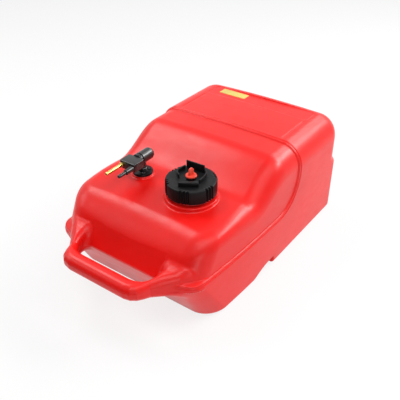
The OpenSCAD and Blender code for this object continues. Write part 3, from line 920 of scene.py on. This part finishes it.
def build_flange():
    """Pickup flange with its collar, and the four blackened screws."""
    black = grained_plastic(colours().fitting, "fitting_black", 0.26, 0.42, 0.00006)
    low = SEAT - 4.0
    profile = [
        (6.55, low), (18.3, low), (18.5, low + 0.3), (18.5, low + 2.9), (18.1, low + 3.6),
        (17.3, low + 4), (10.6, low + 4), (9.6, low + 4.5), (9.0, low + 5.5), (9.0, low + 6.5),
        (8.5, low + 7), (6.55, low + 7),
    ]
    bm = bmesh.new()
    lathe(bm, profile, 96, at(*PICKUP), ring=True)
    add_piece(bm, "flange_moulding", "tank", black, ("pickup_flange",))

    def slotted(r, h, t):
        """Sinks a cross into the screw's head."""
        if h < SEAT + 1.1 or r > 2.4:
            return r
        return r * (0.55 + 0.75 * abs(cos(2 * t)) ** 3)

    screw = [
        (0, RING_TOP - 7), (1.5, RING_TOP - 7), (1.5, SEAT), (3.1, SEAT), (3.25, SEAT + 0.5),
        (3.0, SEAT + 1.2), (2.3, SEAT + 1.8), (1.3, SEAT + 2.0), (1.0, SEAT + 1.2),
        (0, SEAT + 1.0),
    ]
    bm = bmesh.new()
    for i in range(4):
        t = radians(45 + 90 * i)
        spot = at(*PICKUP) @ at(SCREW_CIRCLE * cos(t), SCREW_CIRCLE * sin(t))
        lathe(bm, screw, 32, spot, slotted)
    dark = turned_metal(colours().screw, "blackened_steel", 0.3, 0.45)
    add_piece(bm, "pan_screws", "tank", dark, ("flange_screws",))


def build_elbow():
    """Elbow: upright stem and level barrel with a domed end and a groove."""
    black = bpy.data.materials["fitting_black"]
    stem = [
        (0, RING_TOP - 26), (2.9, RING_TOP - 26), (3.5, RING_TOP - 25.2), (3.5, RING_TOP - 3),
        (6.5, RING_TOP - 3), (6.5, SEAT + 3.15), (8.0, SEAT + 3.15), (8.0, SEAT + 5.4),
        (7.4, SEAT + 6.2), (6.5, SEAT + 6.6), (6.5, BARREL - 10.4), (7.2, BARREL - 8.8),
        (0, BARREL),
    ]
    bm = bmesh.new()
    lathe(bm, stem, 64, at(*PICKUP))
    add_piece(bm, "elbow_stem", "pickup", black)
    front = -BLOCK_BACK
    barrel = [
        (0, front - 8), (6, front - 8), (6, front), (9.8, front), (10.7, front + 0.3),
        (11, front + 1), (11, -8.4), (10.6, -8), (8.6, -7.9), (8.6, -6.1), (10.6, -6), (11, -5.6),
    ]
    dome = [(11 * cos(radians(a)), 17 + 9 * sin(radians(a))) for a in range(0, 90, 6)]
    level = at(*PICKUP, BARREL) @ Matrix.Rotation(-pi / 2, 4, "X")
    bm = bmesh.new()
    lathe(bm, barrel + dome + [(0, 26)], 96, level)
    add_piece(bm, "elbow_barrel", "pickup", black, ("elbow_body",))


def rounded_rectangle(w, l, r):
    """Plan outline of a rectangle with rounded corners."""
    out = []
    for cx, cy, start in ((1, 1, 0), (-1, 1, 90), (-1, -1, 180), (1, -1, 270)):
        out += arc(cx * (w / 2 - r), cy * (l / 2 - r), r, start, start + 90, 5)
    return out


def build_block():
    """Connector block, brass fuel prong and black guide pin."""
    black = bpy.data.materials["fitting_black"]
    brass = turned_metal(colours().brass, "turned_brass", 0.16, 0.3, (1, 12, 1))
    x, y = PICKUP[0], PICKUP[1] - BLOCK_BACK
    outline = rounded_rectangle(34, BLOCK_LENGTH, 2.4)
    bm = prism(outline, -8, 8, 1.4, at(x, y - BLOCK_LENGTH / 2, BARREL), 4)
    add_piece(bm, "block_moulding", "pickup", black, ("connector_block",), 50)
    end = 40.0
    prong = [
        (0, -12), (3.2, -12), (3.2, 0), (4.3, 0), (4.6, 0.3), (4.6, 3.1), (4.2, 3.5), (3.2, 3.5),
        (3.2, end - 7.8), (2.9, end - 7.4), (2.3, end - 7.1), (2.25, end - 4.4), (2.8, end - 4.1),
        (3.2, end - 3.7), (3.2, end - 1.6), (2.8, end - 0.6), (2.2, end), (1.5, end),
        (1.5, end - 5), (0, end - 5),
    ]
    bm = bmesh.new()
    face = y - BLOCK_LENGTH
    lathe(bm, prong, 64, at(x - PRONG_OFFSET, face, BARREL) @ AHEAD)
    add_piece(bm, "brass_prong", "pickup", brass, ("fuel_prong",))
    end = 35.0
    pin = [
        (0, -12), (3.2, -12), (3.2, 0), (4.7, 0), (5.0, 0.3), (5.0, 16.6), (4.5, 17.3),
        (3.7, 17.6), (3.2, 17.9), (3.2, end - 9), (2.7, end - 8.5), (2.7, end - 6.5),
        (3.2, end - 6), (3.2, end - 1.5), (2.6, end - 0.4), (1.9, end), (0, end),
    ]
    bm = bmesh.new()
    lathe(bm, pin, 64, at(x + PRONG_OFFSET, face, BARREL) @ AHEAD)
    add_piece(bm, "guide_pin_moulding", "pickup", black, ("guide_pin",))


def build_label():
    """Blank label in the strip across the rear block."""
    s = sizes()
    outline = rounded_rectangle(s.label_width / MM, s.label_length / MM, 1.5)
    bm = prism(outline, 0.02, 0.5, 0.15, at(*LABEL, BODY_HEIGHT - STRIP_DEPTH), 2)
    film = plain_film(colours().label)
    add_piece(bm, "blank_label", "tank", film, ("rear_label",), 50)


def finish_kept_nodes():
    """Gives the CAD nodes that stay their finishes."""
    c = colours()
    rubber = soft_rubber(c.rubber)
    steel = turned_metal(c.steel, "spring_steel", 0.25, 0.4)
    milky = milky_plastic(c.milky)
    mesh_steel = woven_steel(c.steel)
    black = grained_plastic(c.cap, "bush_black", 0.35, 0.5)
    kept = {
        "cap_gasket": rubber, "vent_oring": rubber, "flange_gasket": rubber,
        "swivel_oring": rubber, "block_oring": rubber, "swivel_clip": steel, "tube_clip": steel,
        "dip_tube": milky, "strainer_cage": milky, "strainer_mesh": mesh_steel,
        "vent_bush": black, "vent_baffle": black,
    }
    for node, material in kept.items():
        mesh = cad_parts[node].data
        mesh.materials.clear()
        mesh.materials.append(material)


def stage_sheet(name, finish, corners, faces):
    """A flat piece of the studio, which comes back with its node tree and shader."""
    mesh = bpy.data.meshes.new(name)
    mesh.from_pydata(corners, [], faces)
    sheet = bpy.data.objects.new(name, mesh)
    bpy.context.scene.collection.objects.link(sheet)
    material = bpy.data.materials.new(finish)
    material.use_nodes = True
    mesh.materials.append(material)
    tree = material.node_tree
    return sheet, tree, tree.nodes["Principled BSDF"]


def background_rays(tree):
    """A socket that is 1 for camera, transmission and glossy rays, and 0 for the rest."""
    path = tree.nodes.new("ShaderNodeLightPath")
    rays = path.outputs["Is Camera Ray"]
    for other in ("Is Transmission Ray", "Is Glossy Ray"):
        seen = tree.nodes.new("ShaderNodeMath")
        seen.operation = "MAXIMUM"
        tree.links.new(rays, seen.inputs[0])
        tree.links.new(path.outputs[other], seen.inputs[1])
        rays = seen.outputs[0]
    return rays


def build_floor(colour):
    """The pale floor, which glows white in front of the camera and keeps its shadow."""
    r = FLOOR_REACH
    corners = [(-r, -r, 0), (r, -r, 0), (r, r, 0), (-r, r, 0)]
    floor, tree, shader = stage_sheet("studio_floor", "pale_floor", corners, [(0, 1, 2, 3)])
    shader.inputs["Base Color"].default_value = (*colour, 1)
    shader.inputs["Roughness"].default_value = 0.85
    glow = tree.nodes.new("ShaderNodeEmission")
    glow.inputs["Color"].default_value = (1, 1, 1, 1)
    share = tree.nodes.new("ShaderNodeMath")
    share.operation = "MULTIPLY"
    share.inputs[1].default_value = FLOOR_GLOW
    mix = tree.nodes.new("ShaderNodeMixShader")
    tree.links.new(background_rays(tree), share.inputs[0])
    tree.links.new(share.outputs[0], mix.inputs["Fac"])
    tree.links.new(shader.outputs[0], mix.inputs[1])
    tree.links.new(glow.outputs[0], mix.inputs[2])
    tree.links.new(mix.outputs[0], tree.nodes["Material Output"].inputs["Surface"])


def build_dark_card():
    """A black card in front that only reflections meet, so that the nose stays deep in colour."""
    half = Vector((1.0, -0.15, 0))
    rows = ((-0.45, -0.34, 0.002), (-0.25, -1.1, 0.002), (-0.25, -1.2, 0.62))
    corners = [Vector(row) + side * half for row in rows for side in (-1, 1)]
    faces = [(0, 1, 3, 2), (2, 3, 5, 4)]
    card, _, shader = stage_sheet("dark_card", "black_card", corners, faces)
    card.visible_camera = card.visible_diffuse = False
    card.visible_shadow = card.visible_transmission = False
    shader.inputs["Base Color"].default_value = (0.01, 0.01, 0.01, 1)
    shader.inputs["Roughness"].default_value = 1.0
    shader.inputs["Specular IOR Level"].default_value = 0.0


def build_world(strength):
    """White behind the object, and a soft even light on it."""
    world = bpy.data.worlds.new("studio_world")
    bpy.context.scene.world = world
    world.use_nodes = True
    tree = world.node_tree
    back = tree.nodes["Background"]
    back.inputs["Color"].default_value = (1, 1, 1, 1)
    mix = tree.nodes.new("ShaderNodeMapRange")
    mix.inputs["To Min"].default_value = strength
    mix.inputs["To Max"].default_value = 1.0
    tree.links.new(background_rays(tree), mix.inputs["Value"])
    tree.links.new(mix.outputs["Result"], back.inputs["Strength"])


def build_lights(studio):
    """Rectangular soft lights round the tank, each aimed at its middle."""
    for name, setting, azimuth, height, far, size in LIGHTS:
        light = bpy.data.lights.new(name, "AREA")
        light.shape = "RECTANGLE"
        light.size, light.size_y = size
        light.energy = getattr(studio, setting)
        lamp = bpy.data.objects.new(name, light)
        a, e = radians(azimuth), radians(height)
        away = Vector((sin(a) * cos(e), -cos(a) * cos(e), sin(e))) * far
        lamp.location = Vector(LIGHTS_AIM) + away
        lamp.rotation_euler = (-away).to_track_quat("-Z", "Y").to_euler()
        bpy.context.scene.collection.objects.link(lamp)


def build_camera(focal_length):
    """The camera, at the photograph's place and angle."""
    lens = bpy.data.cameras.new("photo_camera")
    lens.sensor_width = 36.0
    lens.lens = focal_length
    lens.clip_start = 0.01
    camera = bpy.data.objects.new("photo_camera", lens)
    camera.location = CAMERA_PLACE
    camera.rotation_euler = (radians(90 - CAMERA_DIP), 0, radians(CAMERA_TURN))
    bpy.context.scene.collection.objects.link(camera)
    bpy.context.scene.camera = camera


def build_stage():
    """Floor, card, world, soft lights and the camera."""
    studio = bpy.context.scene.fuel_tank_studio
    build_floor(studio.floor)
    build_world(studio.sky)
    build_dark_card()
    build_lights(studio)
    build_camera(studio.lens)
    bpy.context.scene.view_settings.view_transform = "Standard"


# ---------------------------------------------------------------- operators


class FUELTANK_OT_skin(Operator):
    """Add the moulded tank skin with its handle, neck and boss"""

    bl_idname = "fueltank.skin"
    bl_label = "Tank Skin"

    def execute(self, context):
        build_skin()
        build_neck_thread()
        return {"FINISHED"}


class FUELTANK_OT_cap(Operator):
    """Add the filler cap with its finger grooves and guard"""

    bl_idname = "fueltank.cap"
    bl_label = "Filler Cap"

    def execute(self, context):
        build_cap()
        return {"FINISHED"}


class FUELTANK_OT_vent(Operator):
    """Add the red vent knob"""

    bl_idname = "fueltank.vent"
    bl_label = "Vent Knob"

    def execute(self, context):
        build_vent()
        return {"FINISHED"}


class FUELTANK_OT_flange(Operator):
    """Add the pickup flange and its screws"""

    bl_idname = "fueltank.flange"
    bl_label = "Pickup Flange"

    def execute(self, context):
        build_flange()
        return {"FINISHED"}


class FUELTANK_OT_elbow(Operator):
    """Add the swivelling elbow"""

    bl_idname = "fueltank.elbow"
    bl_label = "Elbow"

    def execute(self, context):
        build_elbow()
        return {"FINISHED"}


class FUELTANK_OT_block(Operator):
    """Add the connector block with its brass prong and guide pin"""

    bl_idname = "fueltank.block"
    bl_label = "Connector Block"

    def execute(self, context):
        build_block()
        return {"FINISHED"}


class FUELTANK_OT_label(Operator):
    """Add the blank label"""

    bl_idname = "fueltank.label"
    bl_label = "Blank Label"

    def execute(self, context):
        build_label()
        return {"FINISHED"}


class FUELTANK_OT_kept(Operator):
    """Finish the seals, clips, tube and strainer"""

    bl_idname = "fueltank.kept"
    bl_label = "Seals And Strainer"

    def execute(self, context):
        finish_kept_nodes()
        return {"FINISHED"}


class FUELTANK_OT_stage(Operator):
    """Add the floor, lights and camera"""

    bl_idname = "fueltank.stage"
    bl_label = "Studio"

    def execute(self, context):
        build_stage()
        return {"FINISHED"}


OPERATORS = (
    FUELTANK_OT_stage,
    FUELTANK_OT_skin,
    FUELTANK_OT_cap,
    FUELTANK_OT_vent,
    FUELTANK_OT_flange,
    FUELTANK_OT_elbow,
    FUELTANK_OT_block,
    FUELTANK_OT_label,
    FUELTANK_OT_kept,
)


class FUELTANK_PT_panel(Panel):
    """Lists the tank's settings and pieces"""

    bl_idname = "FUELTANK_PT_panel"
    bl_label = "Fuel Tank"
    bl_space_type = "VIEW_3D"
    bl_region_type = "UI"
    bl_category = "Fuel Tank"

    def draw(self, context):
        scene = context.scene
        for group in (scene.fuel_tank_sizes, scene.fuel_tank_colours, scene.fuel_tank_studio):
            box = self.layout.box()
            for name in group.__annotations__:
                box.prop(group, name)
        for operator in OPERATORS:
            self.layout.operator(operator.bl_idname)


GROUPS = (TankSizes, TankColours, StudioSettings)


def register():
    for cls in GROUPS + OPERATORS + (FUELTANK_PT_panel,):
        bpy.utils.register_class(cls)
    bpy.types.Scene.fuel_tank_sizes = PointerProperty(type=TankSizes)
    bpy.types.Scene.fuel_tank_colours = PointerProperty(type=TankColours)
    bpy.types.Scene.fuel_tank_studio = PointerProperty(type=StudioSettings)


def unregister():
    del bpy.types.Scene.fuel_tank_studio
    del bpy.types.Scene.fuel_tank_colours
    del bpy.types.Scene.fuel_tank_sizes
    for cls in reversed(GROUPS + OPERATORS + (FUELTANK_PT_panel,)):
        bpy.utils.unregister_class(cls)


def main():
    """Builds everything in order."""
    register()
    for operator in OPERATORS:
        group, name = operator.bl_idname.split(".")
        getattr(getattr(bpy.ops, group), name)()


if __name__ == "__main__":
    main()
